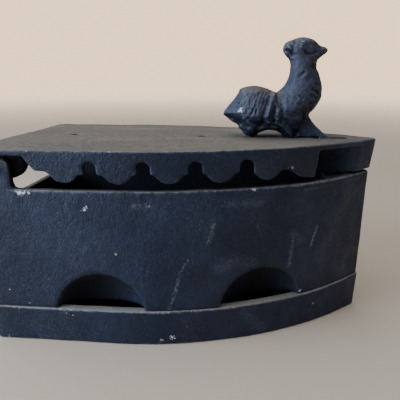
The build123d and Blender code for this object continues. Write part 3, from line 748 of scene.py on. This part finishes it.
def rooster():
    """The latch: a cast rooster on its web and hook."""
    margin = 2.0
    widest = max(place[2] for place in THICKNESS) + 2 * margin
    stations = np.arange(min(p[0] for p in OUTLINE) - margin, max(p[0] for p in WEB) + margin, STEP)
    across = np.arange(-widest, widest + STEP, STEP)
    heights = np.arange(min(p[1] for p in WEB) - margin, max(p[1] for p in OUTLINE) + margin, STEP)
    field = rooster_field(stations[:, None, None], across[None, :, None], heights[None, None, :])
    points, quads = surface_net(field, (stations[0], across[0], heights[0]), STEP)
    points = points * MM + np.array([REAR, 0, 0])
    mesh = bpy.data.meshes.new("rooster")
    mesh.from_pydata(points.tolist(), [], quads.tolist())
    mesh.shade_smooth()
    mesh.validate()
    bird = link(bpy.data.objects.new("rooster", mesh))
    smooth = bird.modifiers.new("round", "SMOOTH")
    smooth.factor = 0.5
    smooth.iterations = 2
    roughen(bird, ((1.7, 0.26), (3.2, 0.5), (9, 0.5)))
    # the light gain makes the rooster's paint paler, painting in the light that its upturned, rounded faces
    # catch
    mesh.materials.append(stove_paint("rooster_paint", ROOSTER_CHIPS, dust_and_top_light=0.45, sheen=0.46,
                                      light=(3.4, 3.1, 2.05), wear=0.6, crease_shade=0.9))
    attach(bird, "latch")
    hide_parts("rooster_latch")


# ---------------------------------------------------------------- object

def iron():
    chips = on_side(BODY_CHIPS, WALL_INSET) + on_side(FAR_CHIPS, WALL_INSET, 1)
    scratches = line_on_side(BODY_SCRATCHES, WALL_INSET) + line_on_side(FAR_SCRATCHES, WALL_INSET, 1)
    shell_paint = stove_paint("shell_paint", chips, scratches, dust_and_top_light=0.55, soot_and_shade=shell_soot_and_shade, wear=0.75,
                              worn_above=44)
    sole_paint = stove_paint("sole_paint", on_side(SOLE_CHIPS, 1.0), line_on_side(SOLE_SCRATCHES, 0.9),
                             dust_and_top_light=0.95, soot_and_shade=sole_soot_and_shade, ledge_dust_and_light=0.8)
    lid_paint = stove_paint("lid_paint", on_side(LID_CHIPS, 0.15), line_on_side(LID_SCRATCHES, 0.15),
                            soot_and_shade=lid_soot_and_shade, wear=0.4)
    shell = dress("body_shell", shell_paint)
    sole = dress("sole_plate", sole_paint)
    lid = dress("lid", lid_paint)
    grate = dress("fire_grate", grate_iron())
    sand_cast(shell, 1.0)
    sand_cast(sole)
    sand_cast(lid)
    sand_cast(grate, 0.7, 3, ((9, 0.3),))
    pin_steel = dull_steel("pin_steel", PIN_STEEL, 0.42)
    round_edges(dress("hinge_pin", pin_steel), 0.3, 2)
    round_edges(dress("latch_pin", lid_paint), 0.3, 2)
    screw_steel = dull_steel("screw_steel", SCREW_STEEL, 0.45)
    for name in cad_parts:
        if name.startswith("sole_screw"):
            round_edges(dress(name, screw_steel), 0.25, 2)
    rooster()


# ---------------------------------------------------------------- stage

CAMERA_PLACE = (0.0263, -0.2416, 0.1415)
CAMERA_DOWN = 16.86  # degrees below level
CAMERA_LEFT = 5.1  # degrees left of straight across the iron
LENS = 36.04  # millimetres, as is the sensor's width
SENSOR = 36.0
FLOOR_RADIUS = 4.0  # metres, and the backdrop's too
FLOOR_PALE, FLOOR_PALER = (0.46, 0.395, 0.315), (0.50, 0.43, 0.345)
FLOOR_FAR = (0.92, 0.78, 0.61)
BACKDROP = (2.0, 1.42, 0.88)


def camera():
    data = bpy.data.cameras.new("camera")
    data.sensor_width = SENSOR
    data.lens = LENS
    cam = link(bpy.data.objects.new("camera", data))
    cam.location = CAMERA_PLACE
    cam.rotation_euler = (math.radians(90 - CAMERA_DOWN), 0, math.radians(CAMERA_LEFT))
    bpy.context.scene.camera = cam


def floor():
    """A pale floor, which turns into the backdrop's colour far away."""
    bpy.ops.mesh.primitive_circle_add(vertices=96, radius=FLOOR_RADIUS, fill_type="NGON")
    ground = bpy.context.object
    ground.name = "floor"
    s = Shader("floor")
    near = s.mix(s.noise(120, 3), FLOOR_PALE, FLOOR_PALER)
    far = s.vector("LENGTH", s.place)
    colour = s.mix(s.ramp(far, 0.4, 3.0), near, FLOOR_FAR)
    s.surface.inputs["Emission Color"].default_value = (*BACKDROP, 1)
    s.put(s.ramp(far, 0.5, 3.5, 0.0, 0.5), s.surface.inputs["Emission Strength"])
    ground.data.materials.append(s.finish(colour, 0.85, s.bump(s.noise(3, 2), 0.02), specular=0.1))


def backdrop():
    """A far dome that the camera sees and that lights nothing."""
    bpy.ops.mesh.primitive_uv_sphere_add(segments=64, ring_count=32, radius=FLOOR_RADIUS)
    dome = bpy.context.object
    dome.name = "backdrop"
    glow = bpy.data.materials.new("backdrop")
    glow.use_nodes = True
    surface = glow.node_tree.nodes["Principled BSDF"]
    surface.inputs["Base Color"].default_value = (0, 0, 0, 1)
    surface.inputs["Specular IOR Level"].default_value = 0
    surface.inputs["Emission Color"].default_value = (*BACKDROP, 1)
    surface.inputs["Emission Strength"].default_value = 1
    dome.data.materials.append(glow)
    dome.visible_diffuse = dome.visible_glossy = dome.visible_transmission = dome.visible_shadow = False


LIGHT_TARGET = (0, 0, 0.06)  # the middle of the iron


def lamp(kind, name, place, power, colour):
    """A light that shines from a place towards the iron."""
    data = bpy.data.lights.new(name, kind)
    data.energy = power
    data.color = colour
    light = link(bpy.data.objects.new(name, data))
    light.location = place
    light.rotation_euler = (Vector(LIGHT_TARGET) - light.location).to_track_quat("-Z", "Y").to_euler()
    return data


def lights():
    """A soft blue window on the left, a softer and warmer ceiling, and faint blue light all round."""
    window = lamp("AREA", "window", (-0.70, -0.325, 0.30), power=10.3, colour=(0.68, 0.83, 1.0))
    window.shape = "RECTANGLE"
    window.size, window.size_y = 0.5, 0.5
    ceiling = lamp("SUN", "ceiling", (-0.25, -0.08, 1.2), power=2.65, colour=(0.97, 0.92, 0.88))
    ceiling.angle = math.radians(75)
    world = bpy.data.worlds.new("world")
    bpy.context.scene.world = world
    world.use_nodes = True
    background = world.node_tree.nodes["Background"]
    background.inputs["Color"].default_value = (0.58, 0.76, 1.0, 1)
    background.inputs["Strength"].default_value = 0.16


camera()
iron()
floor()
backdrop()
lights()
